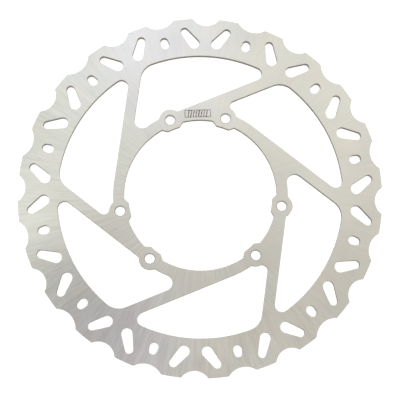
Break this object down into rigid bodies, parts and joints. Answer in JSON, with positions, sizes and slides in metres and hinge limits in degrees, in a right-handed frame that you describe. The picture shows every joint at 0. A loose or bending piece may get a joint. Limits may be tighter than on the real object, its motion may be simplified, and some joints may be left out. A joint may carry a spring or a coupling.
{
  "type": "brake disc",
  "caption": "Flat wave-edged brake disc with a slotted friction ring, slanting arms and an inner ring of paired bolt holes.",
  "frame": {"origin": "on the wheel axis, in the plane of the back face", "axes": "+Z along the wheel axis, out of the marked front face; +Y through the middle of a slot pair, between the first pair of bolt holes"},
  "size_m": [0.2394, 0.2394, 0.004],
  "materials": {
    "disc_steel": "fine ground stainless steel with laser-cut edges"
  },
  "bodies": {
    "root": {"brake_disc": "disc_steel"}
  },
  "joints": []
}
